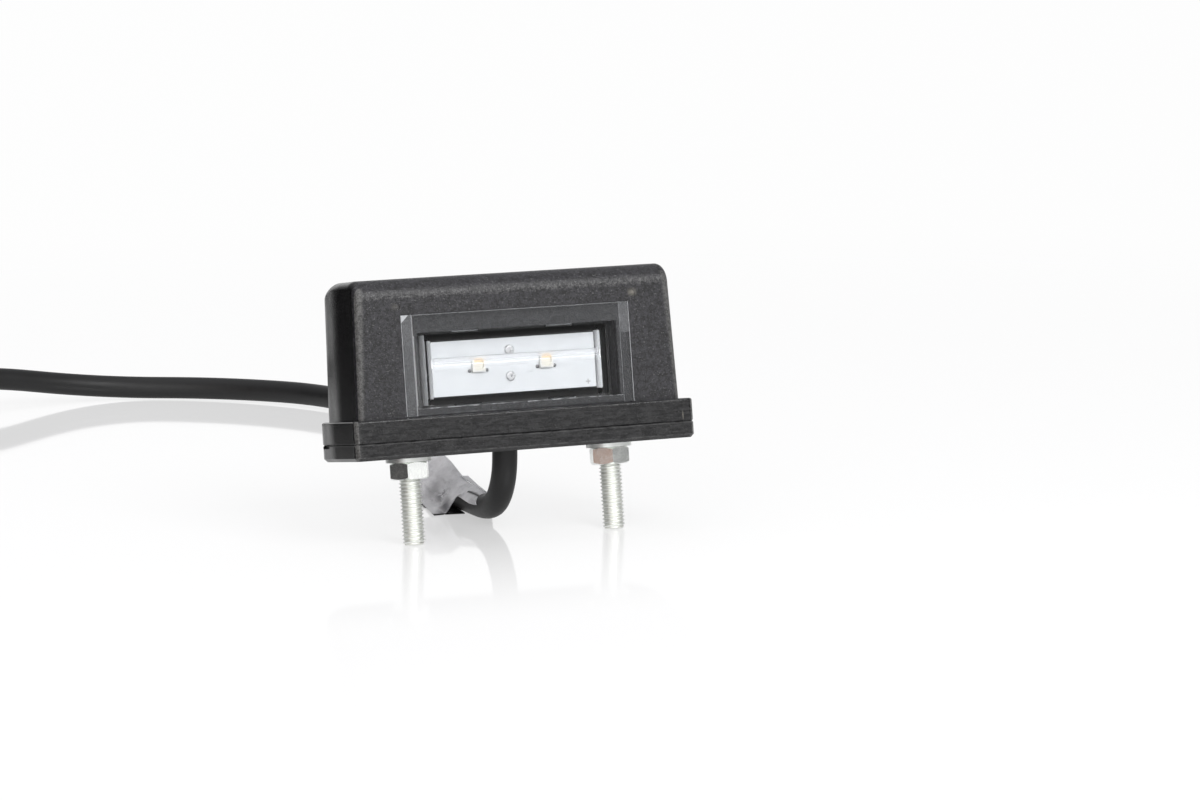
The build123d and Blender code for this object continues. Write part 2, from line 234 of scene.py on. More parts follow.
def ring_caps(rows, columns, first=0):
    """The two end faces of a closed grid."""
    below = first + np.arange(columns)[::-1]
    above = first + (rows - 1) * columns + np.arange(columns)
    return [below.tolist(), above.tolist()]


def make_piece(name, points, faces, sharp=30.0):
    """A piece that rides with the lamp, smooth except along edges sharper than an angle in degrees."""
    mesh = bpy.data.meshes.new(name)
    mesh.from_pydata(points.reshape(-1, 3).tolist(), [], faces)
    mesh.shade_smooth()
    mesh.set_sharp_from_angle(angle=math.radians(sharp))
    piece = bpy.data.objects.new(name, mesh)
    scene.collection.objects.link(piece)
    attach(piece, "root")
    return piece


print("faces of a small closed grid", len(grid_faces(3, 8, closed=True)))

# %% Bolts
PITCH = 0.8
CREST_RADIUS = 2.5
ROOT_RADIUS = 2.07
CREST_HALF = PITCH / 16
THREAD_CHAMFER = 0.6
HEAD_Z = 6.0
HEAD_HEIGHT = 3.5
HEAD_FLATS = 8.0
HEAD_BEVEL = 0.4
HEAD_TOP_RADIUS = 0.475 * HEAD_FLATS
BOLT_SHARP = 25.0
ROWS_PER_PITCH = 12
BOLT_COLUMNS = 48
STUD_SPACING = 47.0


def thread_radius(angle, z):
    """The crest's radius less the slope of a 60 degree thread, kept above the root, in a cone at the end."""
    share = (z / PITCH - angle / (2 * math.pi)) % 1.0
    from_crest = np.abs(share - 0.5) * PITCH
    flank = CREST_RADIUS - (from_crest - CREST_HALF) * math.sqrt(3)
    cone = CREST_RADIUS - THREAD_CHAMFER + z + STUD_REACH
    return np.minimum(np.clip(flank, ROOT_RADIUS, CREST_RADIUS), cone)


def head_radius(angle):
    """The distance to a hexagon's side: half its flats over the cosine of the angle from that flat."""
    from_flat = (angle + math.pi / 6) % (math.pi / 3) - math.pi / 6
    return HEAD_FLATS / 2 / np.cos(from_flat)


def make_bolt(name, x):
    """Rows of rings: the thread up to the head's seat, then the rims of the head."""
    angle = ring_angles(BOLT_COLUMNS)
    count = int((HEAD_Z + STUD_REACH) / PITCH * ROWS_PER_PITCH)
    z = np.linspace(-STUD_REACH, HEAD_Z, count)
    radius = thread_radius(angle[None, :], z[:, None])
    head_z = HEAD_Z + np.array([0.0, HEAD_HEIGHT - HEAD_BEVEL, HEAD_HEIGHT])
    side = head_radius(angle)
    radius = np.vstack([radius, side, side, np.minimum(side, HEAD_TOP_RADIUS)])
    z = np.concatenate([z, head_z])[:, None]
    rings = np.broadcast_arrays(x + radius * np.cos(angle), radius * np.sin(angle), z)
    points = np.stack(rings, axis=-1) * MM
    faces = grid_faces(len(z), BOLT_COLUMNS, closed=True).tolist() + ring_caps(len(z), BOLT_COLUMNS)
    piece = make_piece(f"threaded_{name}", points, faces, BOLT_SHARP)
    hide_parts(name)
    return piece


bolts = [make_bolt(f"bolt_{side}", sign * STUD_SPACING / 2) for side, sign in (("left", -1), ("right", 1))]
print("faces of a bolt", len(bolts[0].data.polygons))

# %% [markdown]
# ## Tape round the cable
# A strip of grey tape is folded loosely over the cable under the lamp. It stands up as a tent with a ridge.
# Its cut end sticks out over the ridge as a flap with the cutter's teeth, a tongue of its first layer lies
# tight on the cable, and an under layer lies on the table. Cloth simulation would not fold it the same way,
# so the tent is a net of a few given points. Straight lines fill the net, and a few rounds of
# averaging turn its kinks into soft folds.

# %% Tape
# Along, back and up on the table in mm, each row from the right foot over the ridge to the left foot
TAPE_NET = np.array([
    [(4.1, 24.5, 0.3), (3.9, 23.0, 3.5), (1.4, 21.5, 6.3), (-0.6, 24.6, 6.2),
     (-2.8, 28.3, 4.7), (-4.3, 31.3, 0.2), (-7.1, 31.1, 0.2)],
    [(4.2, 32.0, 0.3), (4.1, 32.0, 4.4), (0.5, 33.9, 7.7), (-2.0, 34.8, 6.0),
     (-3.5, 35.2, 3.8), (-4.9, 35.8, 1.6), (-7.2, 35.0, 1.0)],
    [(4.2, 42.0, 0.3), (4.1, 41.0, 5.6), (0.4, 40.3, 10.8), (-2.3, 40.5, 8.5),
     (-4.6, 40.8, 6.0), (-6.4, 40.8, 3.8), (-7.6, 40.0, 2.6)],
    [(4.2, 51.5, 0.3), (4.1, 51.5, 7.0), (0.2, 51.5, 13.2), (-2.4, 51.5, 10.8),
     (-4.6, 51.5, 8.0), (-6.2, 51.5, 5.0), (-7.2, 51.5, 3.0)],
])
TAPE_GRID = (70, 130)
TAPE_PASSES = 14
# Start and end counted in rows and columns of the net, depth in mm
CREASES = [((0.75, 4.1), (1.25, 4.4), 0.45), ((0.95, 3.55), (1.25, 3.9), 0.3), ((0.3, 4.6), (0.7, 5.2), 0.4),
           ((1.3, 3.0), (2.2, 3.3), 0.25), ((1.7, 4.4), (2.6, 4.2), 0.35)]
CREASE_WIDTH = 0.13
FLAP_INNER = [(0.6, 34.4, 8.0), (1.1, 28.0, 7.1), (1.4, 21.6, 6.4)]
FLAP_OUTER = [(2.75, 35.4, 7.7), (2.5, 28.9, 6.7), (2.0, 21.4, 6.1)]
FLAP_GRID = (105, 7)
FLAP_TEETH = 13
TOOTH_SHARE = 0.14
TONGUE_GRID = (24, 44)
TONGUE_X = 0.6
TONGUE_RADIUS = CABLE_RADIUS + 0.25
TONGUE_BACK = 29.0
TONGUE_FRONT = 19.7
TONGUE_SLANT = 2.6
TONGUE_ANGLES = (50, 164)
TONGUE_RAISED = 8
TONGUE_RAISED_FROM = 22
TONGUE_RAISED_RUN = 6
BEND_FROM = 21.7
BEND_CURVE = 0.0167
UNDER_GRID = (16, 12)
UNDER_FRONT = [(-4.3, 31.2, 0.2), (0.0, 30.5, 0.2)]
UNDER_REAR = [(-6.0, 48.0, 0.2), (2.5, 48.0, 0.2)]
TAPE_SHEET = 0.22
TAPE_SHARP = 60.0


def on_line(line, t):
    """Points on a broken line, at shares t of its way from corner to corner."""
    keys = np.linspace(0, 1, len(line))
    return np.stack([np.interp(t, keys, axis) for axis in np.array(line).T], axis=-1)


def tape_tent():
    """Straight lines between the net's points, averaged with their neighbours and pressed in at creases."""
    rows, columns = TAPE_GRID
    u = np.linspace(0, len(TAPE_NET) - 1, rows)
    v = np.linspace(0, TAPE_NET.shape[1] - 1, columns)
    i = np.minimum(u.astype(int), len(TAPE_NET) - 2)
    j = np.minimum(v.astype(int), TAPE_NET.shape[1] - 2)
    a = (u - i)[:, None, None]
    b = (v - j)[None, :, None]
    row_before = (1 - b) * TAPE_NET[i][:, j] + b * TAPE_NET[i][:, j + 1]
    row_after = (1 - b) * TAPE_NET[i + 1][:, j] + b * TAPE_NET[i + 1][:, j + 1]
    tent = (1 - a) * row_before + a * row_after
    for _ in range(TAPE_PASSES):
        tent[1:-1] = (tent[:-2] + 2 * tent[1:-1] + tent[2:]) / 4
        tent[:, 1:-1] = (tent[:, :-2] + 2 * tent[:, 1:-1] + tent[:, 2:]) / 4
    normal = np.cross(np.gradient(tent, axis=1), np.gradient(tent, axis=0))
    normal /= np.linalg.norm(normal, axis=-1, keepdims=True)
    for start, end, depth in CREASES:
        start, end = np.array(start), np.array(end)
        place = np.stack(np.meshgrid(u, v, indexing="ij"), axis=-1) - start
        run = (place @ (end - start)) / np.sum((end - start)**2)
        gap = np.linalg.norm(place - np.clip(run, 0, 1)[..., None] * (end - start), axis=-1)
        tent = tent - normal * (depth * np.exp(-(gap / CREASE_WIDTH)**2))[..., None]
    return tent


def tape_flap():
    """A strip from the ridge to the cut edge, which moves in and out with the cutter's teeth."""
    rows, columns = FLAP_GRID
    t = np.linspace(0, 1, rows)
    inner, outer = on_line(FLAP_INNER, t), on_line(FLAP_OUTER, t)
    teeth = 1 + TOOTH_SHARE * (2 * np.abs((t * FLAP_TEETH) % 1 - 0.5) - 0.5)
    share = np.linspace(0, 1, columns)[None, :, None] * teeth[:, None, None]
    return inner[:, None] + (outer - inner)[:, None] * share


def tape_tongue():
    """A patch of a cylinder round the cable, which rises in front as a parabola where the cable bends up.

    Its front edge slants forward down the cable's side, and its lower edge is higher at the rear.
    """
    rows, columns = TONGUE_GRID
    down = np.linspace(0, 1, columns)
    front = TONGUE_FRONT - TONGUE_SLANT * down**3
    back = front + (TONGUE_BACK - front) * np.linspace(0, 1, rows)[:, None]
    highest, lowest = TONGUE_ANGLES
    lowest = lowest - TONGUE_RAISED * np.clip((back - TONGUE_RAISED_FROM) / TONGUE_RAISED_RUN, 0, 1)
    angle = np.radians(highest + (lowest - highest) * down)
    rise = TAPED + BEND_CURVE * np.maximum(BEND_FROM - back, 0)**2
    along = TONGUE_X + TONGUE_RADIUS * np.cos(angle)
    return np.stack([along, back, rise + TONGUE_RADIUS * np.sin(angle)], axis=-1)


# The under layer is painted black in the tape's finish, as the shade inside the tent.
def tape_under():
    """A flat four-sided sheet on the table: straight lines between its front and its rear edge."""
    rows, columns = UNDER_GRID
    across = np.linspace(0, 1, columns)
    front, rear = on_line(UNDER_FRONT, across), on_line(UNDER_REAR, across)
    return front + (rear - front) * np.linspace(0, 1, rows)[:, None, None]


def make_tape():
    """The tent, the flap, the tongue and the under layer in one mesh, with a thickness."""
    sheets = [tape_tent(), tape_flap(), tape_tongue(), tape_under()]
    points = [on_table(*sheet.reshape(-1, 3).T) for sheet in sheets]
    first = np.cumsum([0] + [len(sheet) for sheet in points[:-1]])
    faces = [grid_faces(*sheet.shape[:2], start) for sheet, start in zip(sheets, first)]
    tape = make_piece("tape_wrap", np.vstack(points), np.vstack(faces).tolist(), TAPE_SHARP)
    thicken = tape.modifiers.new("thickness", "SOLIDIFY")
    thicken.thickness = TAPE_SHEET * MM
    thicken.offset = 0.0
    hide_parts("cable_tape")
    return tape


tape = make_tape()
print("faces of the tape", len(tape.data.polygons))

# %% [markdown]
# ## Small ends
# Two things are too small to be worth a solid of their own in CAD but show up close. The cable's two cores
# end in bared copper strands, twisted by hand: a ring whose radius rises and falls seven times round and
# turns as it goes along. And each LED is soldered at two corners, with a little heap that is half a ball.

# %% Bared cores
CORE_RADIUS = 0.7
CORE_LENGTH = 12.0
STRAND_RADIUS = 0.4
STRAND_LENGTH = 5.0
STRANDS = 7
STRAND_TWIST = 0.9
STRAND_RIPPLE = 0.14
STRAND_ROWS = 40
SLEEVE_BEVEL = 0.08
BEVEL_RUN = 0.1
CORE_ASIDE = 1.15 * CORE_RADIUS
CORE_HEIGHT = CABLE_RADIUS - 2.4 * CORE_RADIUS
CORE_COLUMNS = 42
CORE_SHARP = 40.0


def make_bared_core(name, side):
    """A round sleeve, then a twisted bundle: the radius is a cosine of the angle less the twist."""
    angle = ring_angles(CORE_COLUMNS)
    twisted = np.linspace(0, STRAND_LENGTH, STRAND_ROWS)[:, None]
    ripple = STRAND_RIPPLE * np.cos(STRANDS * (angle - STRAND_TWIST * twisted))
    lobes = STRAND_RADIUS * (1 - STRAND_RIPPLE + ripple)
    sleeve = CORE_RADIUS - SLEEVE_BEVEL * np.array([1, 0, 0, 1])[:, None] + 0 * angle
    radius = np.vstack([sleeve, lobes])
    sleeve_along = np.array([0.0, BEVEL_RUN, CORE_LENGTH - BEVEL_RUN, CORE_LENGTH])
    along = np.concatenate([sleeve_along, CORE_LENGTH + twisted[:, 0]])[:, None]
    across = side * CORE_ASIDE + radius * np.cos(angle)
    up = CORE_HEIGHT + radius * np.sin(angle)
    left = np.array([-tail_way[1], tail_way[0]])
    x = tail_end[0] + along * tail_way[0] + across * left[0]
    y = tail_end[1] + along * tail_way[1] + across * left[1]
    points = on_table(x, y, up)
    faces = grid_faces(len(along), CORE_COLUMNS, closed=True)[:, ::-1].tolist()
    faces += [face[::-1] for face in ring_caps(len(along), CORE_COLUMNS)]
    core = make_piece(name, points, faces, CORE_SHARP)
    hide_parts(name.replace("bared", "tail"))
    return core


core_ends = {slot: make_bared_core(name, side) for name, slot, side in (
    ("bared_core_positive", "core_red", -1), ("bared_core_negative", "core_black", 1))}
print("bared cores", list(core_ends))

# %% Solder at the LEDs
FILLET_RADII = (0.42, 0.28, 0.42)
FILLET_PLACES = [(-2.0, -1.2), (2.0, -1.2)]
FILLET_GRID = (6, 16)
FILLET_TOP = 0.48 * math.pi


def solder_heap(centre):
    """Half an ellipsoid that stands on the board, as rings from its rim to its top."""
    rows, columns = FILLET_GRID
    angle = ring_angles(columns)
    rise = np.linspace(0, FILLET_TOP, rows)[:, None]
    a, b, c = FILLET_RADII
    x = centre[0] + a * np.cos(rise) * np.cos(angle)
    z = centre[2] + c * np.cos(rise) * np.sin(angle)
    return np.stack(np.broadcast_arrays(x, centre[1] - b * np.sin(rise), z), axis=-1)


def make_led_solder():
    """Two heaps beside each LED, on the board's front, in one mesh."""
    board_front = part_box("led_board")[0][1] / MM
    heaps = []
    for name in ("led_left", "led_right"):
        low, high = (np.array(corner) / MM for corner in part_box(name))
        middle = (low + high) / 2
        heaps += [solder_heap((middle[0] + x, board_front, middle[2] + z)) for x, z in FILLET_PLACES]
    faces = []
    for number in range(len(heaps)):
        first = number * math.prod(FILLET_GRID)
        faces += grid_faces(*FILLET_GRID, first, closed=True).tolist()
        faces += ring_caps(*FILLET_GRID, first)
    return make_piece("led_solder", np.array(heaps) * MM, faces)


led_solder = make_led_solder()
print("faces of the solder", len(led_solder.data.polygons))

# %% [markdown]
# ## Node trees written as sums
# A finish is a small graph of nodes. Adding each Math node by hand hides the idea behind it, so a wire, which
# wraps one socket, takes part in Python arithmetic, and each operator adds its Math node.

# %% Wires and nodes
# Numbers of the Mix node's colour sockets
MIX_FIRST = 6
MIX_SECOND = 7
MIX_RESULT = 2


class Wire:
    """A socket of a node tree. Arithmetic on wires and numbers adds Math nodes."""

    def __init__(self, socket):
        self.socket = socket

    def math(self, operation, first, second=0.0):
        return node(self.socket.id_data, "ShaderNodeMath", {"operation": operation}, {0: first, 1: second})

    def __add__(self, other):
        return self.math("ADD", self, other)

    def __sub__(self, other):
        return self.math("SUBTRACT", self, other)

    def __rsub__(self, other):
        return self.math("SUBTRACT", other, self)

    def __mul__(self, other):
        return self.math("MULTIPLY", self, other)

    def __truediv__(self, other):
        return self.math("DIVIDE", self, other)

    def __pow__(self, other):
        return self.math("POWER", self, other)

    def __lt__(self, other):
        return self.math("LESS_THAN", self, other)

    def __gt__(self, other):
        return self.math("GREATER_THAN", self, other)

    def __abs__(self):
        return self.math("ABSOLUTE", self)

    def __or__(self, other):
        return self.math("MAXIMUM", self, other)

    __radd__ = __add__
    __rmul__ = __mul__


def node(tree, kind, settings=None, sockets=None, output=0):
    """Adds a node, sets its settings first, then its sockets' values or links, and returns an output."""
    made = tree.nodes.new(kind)
    for name, value in (settings or {}).items():
        if name == "stops":
            ramp = made.color_ramp
            while len(ramp.elements) < len(value):
                ramp.elements.new(1.0)
            for element, (position, colour) in zip(ramp.elements, value):
                element.position = position
                element.color = (*colour, 1.0)
        else:
            setattr(made, name, value)
    for name, value in (sockets or {}).items():
        if isinstance(value, Wire):
            tree.links.new(value.socket, made.inputs[name])
        else:
            made.inputs[name].default_value = value
    return Wire(made.outputs[output]) if made.outputs else None


def grey(level):
    """A neutral colour."""
    return (level, level, level)


def mix_colours(tree, share, first, second):
    """The first colour where share is 0, the second where it is 1."""
    sockets = {0: share}
    for number, colour in ((MIX_FIRST, first), (MIX_SECOND, second)):
        sockets[number] = colour if isinstance(colour, Wire) else (*colour, 1.0)
    return node(tree, "ShaderNodeMix", {"data_type": "RGBA"}, sockets, MIX_RESULT)


def axes_of(tree, vector):
    """The three numbers of a vector."""
    split = node(tree, "ShaderNodeSeparateXYZ", {}, {0: vector}).socket.node
    return [Wire(split.outputs[i]) for i in range(3)]


def ramp_up(tree, value, low, high, to_low=0.0, to_high=1.0):
    """A smooth step of value between low and high."""
    return node(tree, "ShaderNodeMapRange", {"interpolation_type": "SMOOTHSTEP"},
                {"Value": value, "From Min": low, "From Max": high, "To Min": to_low, "To Max": to_high})


def near(tree, value, centre, width):
    """1 at the centre, falling smoothly to 0 at the width from it."""
    return ramp_up(tree, abs(value - centre), 0.0, width, 1.0, 0.0)


def new_finish(name):
    """An empty material, its tree and the place on the surface in metres."""
    material = bpy.data.materials.new(name)
    material.use_nodes = True
    tree = material.node_tree
    tree.nodes.clear()
    return material, tree, node(tree, "ShaderNodeTexCoord", output="Object")


def noise(tree, place, scale, detail=2.0, roughness=0.5):
    """Noise between 0 and 1, with scale in bumps to the metre."""
    return node(tree, "ShaderNodeTexNoise", {},
                {"Vector": place, "Scale": scale, "Detail": detail, "Roughness": roughness})


def bumped(tree, height, depth_mm):
    """A normal tilted by a height, where a height of 1 stands for a depth in mm."""
    return node(tree, "ShaderNodeBump", {}, {"Height": height, "Distance": depth_mm * MM, "Strength": 1.0})


def shader(tree, **sockets):
    """A Principled shader with the named sockets."""
    named = {name.replace("_", " ").title().replace("Ior", "IOR"): value for name, value in sockets.items()}
    for name, value in named.items():
        if isinstance(value, tuple) and len(value) == 3:
            named[name] = (*value, 1.0)
    return node(tree, "ShaderNodeBsdfPrincipled", {}, named)


def ends_in(tree, surface):
    """Puts a shader on the material's output."""
    node(tree, "ShaderNodeOutputMaterial", {}, {"Surface": surface})


def dress(names, material):
    """Gives CAD nodes a finish."""
    for name in names:
        nodes[name].data.materials.clear()
        nodes[name].data.materials.append(material)


print("wires ready")

# %% [markdown]
# ## Floor and light
# The table is glossy white acrylic. It mirrors what stands on it for a few centimetres, and then the mirror
# image fades to white. The room lights the lamp from the front and from above, and the left side is dark.
# The room is a world whose tone depends on the compass direction, and the camera itself sees plain white.

# %% World
ROOM_TONES = [
    (0.00, grey(1.2)), (0.15, grey(1.0)), (0.22, grey(0.15)), (0.31, grey(0.15)), (0.355, grey(0.24)),
    (0.385, grey(1.5)), (0.415, grey(1.5)), (0.428, grey(0.3)), (0.448, grey(0.3)), (0.47, grey(1.2)),
    (0.53, grey(1.2)), (0.56, grey(3.0)), (0.64, grey(3.0)), (0.66, (0.6, 0.42, 0.36)),
    (0.69, (0.5, 0.35, 0.30)), (0.725, grey(0.20)), (0.77, grey(0.16)), (0.90, grey(0.0)),
    (0.96, grey(0.1)), (1.00, grey(1.2)),
]
CEILING = (0.50, 0.50, 0.52)
CEILING_RISE = (0.25, 0.8)
ROOM_STRENGTH = 0.9


def make_world():
    """Tones by compass direction, from behind the lamp round by its right side, under a grey ceiling."""
    world = bpy.data.worlds.new("room")
    world.use_nodes = True
    tree = world.node_tree
    tree.nodes.clear()
    x, y, z = axes_of(tree, node(tree, "ShaderNodeTexCoord", output="Generated"))
    turn = x.math("ARCTAN2", 0 - x, 0 - y) / (2 * math.pi) + 0.5
    around = node(tree, "ShaderNodeValToRGB", {"stops": ROOM_TONES}, {0: turn})
    room = mix_colours(tree, ramp_up(tree, z, *CEILING_RISE), around, CEILING)
    lit = node(tree, "ShaderNodeBackground", {}, {"Color": room, "Strength": ROOM_STRENGTH})
    white = node(tree, "ShaderNodeBackground", {}, {"Color": (1, 1, 1, 1), "Strength": 1.0})
    seen = node(tree, "ShaderNodeLightPath", output="Is Camera Ray")
    both = node(tree, "ShaderNodeMixShader", {}, {0: seen, 1: lit, 2: white})
    node(tree, "ShaderNodeOutputWorld", {}, {"Surface": both})
    scene.world = world


make_world()
scene.view_settings.view_transform = "Standard"
print("room tones", len(ROOM_TONES))

# %% Floor
FLOOR_REACH = 4000.0
GLOW = 0.725
GLOW_MORE = 0.26
FADE = (0.15, 0.6)
SHADOW_TONE = grey(0.25)
DARK_SIDE = (-0.085, -0.055)
DARK_SHARE = 0.98
MIRROR_RUN = (-0.09, 0.02)
MIRROR_SHARES = (0.03, 0.30)
MIRROR_FADE = 0.8
BOUNCE_RUN = (-0.12, 0.0)
BOUNCE_TONES = (grey(0.3), grey(0.85))


def floor_finish():
    """White that glows for the eye and for mirrors, takes shadows, mirrors things near the lamp.

    It is clear from below. On the left, mirrors see it dark and the light that it throws back is greyer.
    """
    material, tree, place = new_finish("table_acrylic")
    x, y, _ = axes_of(tree, place)
    path = {ray: node(tree, "ShaderNodeLightPath", output=f"Is {ray} Ray")
            for ray in ("Camera", "Glossy", "Transmission")}
    seen = path["Camera"] | path["Glossy"] | path["Transmission"]
    distance = node(tree, "ShaderNodeVectorMath", {"operation": "LENGTH"}, {0: place}, "Value")
    far = ramp_up(tree, distance, *FADE)
    lit_side = 1 - path["Glossy"] * ramp_up(tree, x, *DARK_SIDE, DARK_SHARE, 0.0)
    glow = node(tree, "ShaderNodeEmission", {}, {
        "Color": (1, 1, 1, 1), "Strength": (GLOW + GLOW_MORE * far) * lit_side})
    shaded = node(tree, "ShaderNodeBsdfDiffuse", {}, {
        "Color": mix_colours(tree, (1 - far) * lit_side, grey(0.0), SHADOW_TONE)})
    bright = node(tree, "ShaderNodeAddShader", {}, {0: glow, 1: shaded})
    mirror = node(tree, "ShaderNodeBsdfGlossy", {}, {"Color": (1, 1, 1, 1), "Roughness": 0.06})
    share = ramp_up(tree, y, *MIRROR_RUN, *MIRROR_SHARES) * (1 - MIRROR_FADE * far) * lit_side
    bright = node(tree, "ShaderNodeMixShader", {}, {0: share, 1: bright, 2: mirror})
    bounce = mix_colours(tree, ramp_up(tree, x, *BOUNCE_RUN), *BOUNCE_TONES)
    plain = node(tree, "ShaderNodeBsdfDiffuse", {}, {"Color": bounce})
    top = node(tree, "ShaderNodeMixShader", {}, {0: seen, 1: plain, 2: bright})
    clear = node(tree, "ShaderNodeBsdfTransparent")
    below = node(tree, "ShaderNodeNewGeometry", output="Backfacing")
    ends_in(tree, node(tree, "ShaderNodeMixShader", {}, {0: below, 1: top, 2: clear}))
    return material


def make_floor():
    """One large square on the tilted table."""
    mesh = bpy.data.meshes.new("table")
    r = FLOOR_REACH
    corners = on_table(np.array([-r, r, r, -r]), np.array([-r, -r, r, r]), 0.0)
    mesh.from_pydata(corners.tolist(), [], [(0, 1, 2, 3)])
    floor = bpy.data.objects.new("table", mesh)
    mesh.materials.append(floor_finish())
    scene.collection.objects.link(floor)


make_floor()
print("table", 2 * FLOOR_REACH * MM, "m square")

# %% Lamps
# Spot and aim in mm on the table, side in metres, watts, and whether glossy things mirror it
SOFT_BOXES = {
    "front_box": ((150, -700, 620), (0, 0, 20), 0.45, 5.0, True),
    "top_box": ((-100, 150, 1100), (0, 30, 20), 1.2, 3.0, True),
    "left_fill": ((-700, -250, 350), (0, 0, 10), 0.6, 0.8, False),
}


def make_soft_box(name, spot, aim, side, watts, mirrored):
    """A square area lamp at a spot on the table, turned to its aim. A fill is not seen in glossy things."""
    data = bpy.data.lights.new(name, "AREA")
    data.size = side
    data.energy = watts
    lamp = bpy.data.objects.new(name, data)
    lamp.visible_glossy = mirrored
    place = Vector(on_table(*spot))
    way = Vector(on_table(*aim)) - place
    lamp.matrix_world = Matrix.Translation(place) @ way.to_track_quat("-Z", "Y").to_matrix().to_4x4()
    scene.collection.objects.link(lamp)


for name, facts in SOFT_BOXES.items():
    make_soft_box(name, *facts)
print("lamps", list(SOFT_BOXES))

# %% [markdown]
# ## Black moulding
# Hood and base are moulded in black plastic with a fine pebble grain from the mould. The plastic itself is
# almost black, and what shows is the sheen of the room on the grain. Voronoi cells give the pebbles. Dust has
# settled in specks, and a pale scuff lies by the right one of the two small sink marks over the lens. The
# front edges and the brow get a pale, speckled painted highlight, and the edges at the seam and near the
# bottom get thin painted highlight lines. Flange and base are smoother and streaked along their length. The
# hood's ends bulge by less than a millimetre, which only shows in their sheen, so the bump leans them to the
# back, and their colour is painted darker, as shade.

# %% Finish of hood and base
SCUFF_SPOT = (27.6, 32.6)
SCUFF_REACH = (1.4, 1.2)
NICK_SPOT = (36.6, 5.0)
NICK_REACH = (0.16, 1.3)
FRONT_Y = -8.5
END_X = 35.0
END_FRONT = -7.5
END_ROUND = 0.0135
END_START = 1.0
EDGE_SLOPE = 0.0567
EDGE_START = 36.4
FLANGE_TOP = 8.6
FLANGE_EDGE = 38.6
FLANGE_AHEAD = 2.6
HIGHLIGHT_FRONT = -8.3
BROW_Z = 34.9
BROW_REACH = 1.2
SEAM_EDGE = 3.4
FOOT_EDGE = 0.75
RIM_REACH = 0.22
STREAK_STRETCH = (0.2, 1.0, 1.0)
PEBBLE_DEPTH = 0.045
BLACK = grey(0.002)
BLACK_GRAIN = (0.031, 0.030, 0.035)
DUST = grey(0.12)
SCUFFED = (0.34, 0.32, 0.27)
HIGHLIGHT_TONE = (0.110, 0.109, 0.106)


def black_moulding():
    """Near-black plastic: pebbles in the bump, grain of two sizes in the tone, dust, a scuff and a nick.

    The edges and the brow get painted highlights, and the hood's ends painted shade.
    """
    material, tree, place = new_finish("housing_black")
    x, y, z = axes_of(tree, place)
    pebbles = node(tree, "ShaderNodeTexVoronoi", {"feature": "SMOOTH_F1"}, {"Vector": place, "Scale": 2600.0})
    stretched = node(tree, "ShaderNodeVectorMath", {"operation": "MULTIPLY"}, {0: place, 1: STREAK_STRETCH})
    grain = noise(tree, place, 3200.0, 2.0, 0.7)
    blotch = noise(tree, place, 320.0, 4.0, 0.65)
    mottle = noise(tree, place, 1250.0, 3.0, 0.75)
    streaks = noise(tree, stretched, 1500.0, 3.0, 0.7)
    specks = ramp_up(tree, noise(tree, place, 2300.0, 1.0), 0.62, 0.74)
    highlight_speckle = 0.5 * grain + 0.5 * mottle
    low = z < FLANGE_TOP * MM
    ahead = y + low * FLANGE_AHEAD * MM

    def band(value, centre, reach):
        """1 at a centre in mm, falling smoothly to 0 at a reach in mm."""
        return near(tree, value, centre * MM, reach * MM)

    colour = mix_colours(tree, ramp_up(tree, 0.4 * grain + 0.6 * mottle, 0.36, 0.64), BLACK, BLACK_GRAIN)
    colour = mix_colours(tree, specks * 0.5, colour, DUST)
    low_tone = mix_colours(tree, ramp_up(tree, streaks, 0.36, 0.66), grey(0.001), grey(0.024))
    colour = mix_colours(tree, low * 0.75, colour, low_tone)
    # Thin painted highlight lines along the edges at the seam and near the bottom of the base.
    rims = band(z, SEAM_EDGE, RIM_REACH) * 0.6 | band(z, FOOT_EDGE, RIM_REACH) * 0.4
    colour = mix_colours(tree, rims * ramp_up(tree, streaks, 0.3, 0.6), colour, grey(0.11))

    scuff = band(abs(x), SCUFF_SPOT[0], SCUFF_REACH[0]) * band(z, SCUFF_SPOT[1], SCUFF_REACH[1])
    scuff = scuff * ramp_up(tree, x, -0.03, 0.03, 0.2, 0.8) * noise(tree, place, 1500.0, 3.0, 0.7)
    nick = band(x, NICK_SPOT[0], NICK_REACH[0]) * band(z, NICK_SPOT[1], NICK_REACH[1])
    colour = mix_colours(tree, (scuff | nick * 0.5) * (y < FRONT_Y * MM), colour, SCUFFED)

    # Painted highlights: a pale speckled line on the front corners at the hood's and flange's ends, and on
    # the brow.
    hood_edge = ramp_up(tree, abs(x) + EDGE_SLOPE * z, EDGE_START * MM, (EDGE_START + 1.0) * MM)
    edge = hood_edge * (z > FLANGE_TOP * MM) | (abs(x) > FLANGE_EDGE * MM) * low
    brow = band(z, BROW_Z, BROW_REACH) * ramp_up(tree, highlight_speckle, 0.48, 0.62)
    painted_highlight = edge * ramp_up(tree, highlight_speckle, 0.38, 0.62, 0.25, 1.0) | brow * 0.7
    colour = mix_colours(tree, painted_highlight * (ahead < HIGHLIGHT_FRONT * MM), colour, HIGHLIGHT_TONE)

    # Painted shade: the hood's ends are darker behind their front edge. The bump below also leans them back.
    end = (abs(x) > END_X * MM) * (ahead > END_FRONT * MM)
    colour = mix_colours(tree, end * 0.8, colour, BLACK)
    back = (y / MM - END_START) | 0.0
    height = (pebbles + grain) * PEBBLE_DEPTH * (1 - 0.7 * end) - END_ROUND * back * back * end
    skin = shader(tree, base_color=colour, roughness=(0.29 + 0.2 * blotch) * (1 - 0.4 * (end | low)),
                  specular_ior_level=0.44, normal=bumped(tree, height, 1.0))
    ends_in(tree, skin)
    return material


dress(["housing", "base_plate"], black_moulding())
print("moulding done")
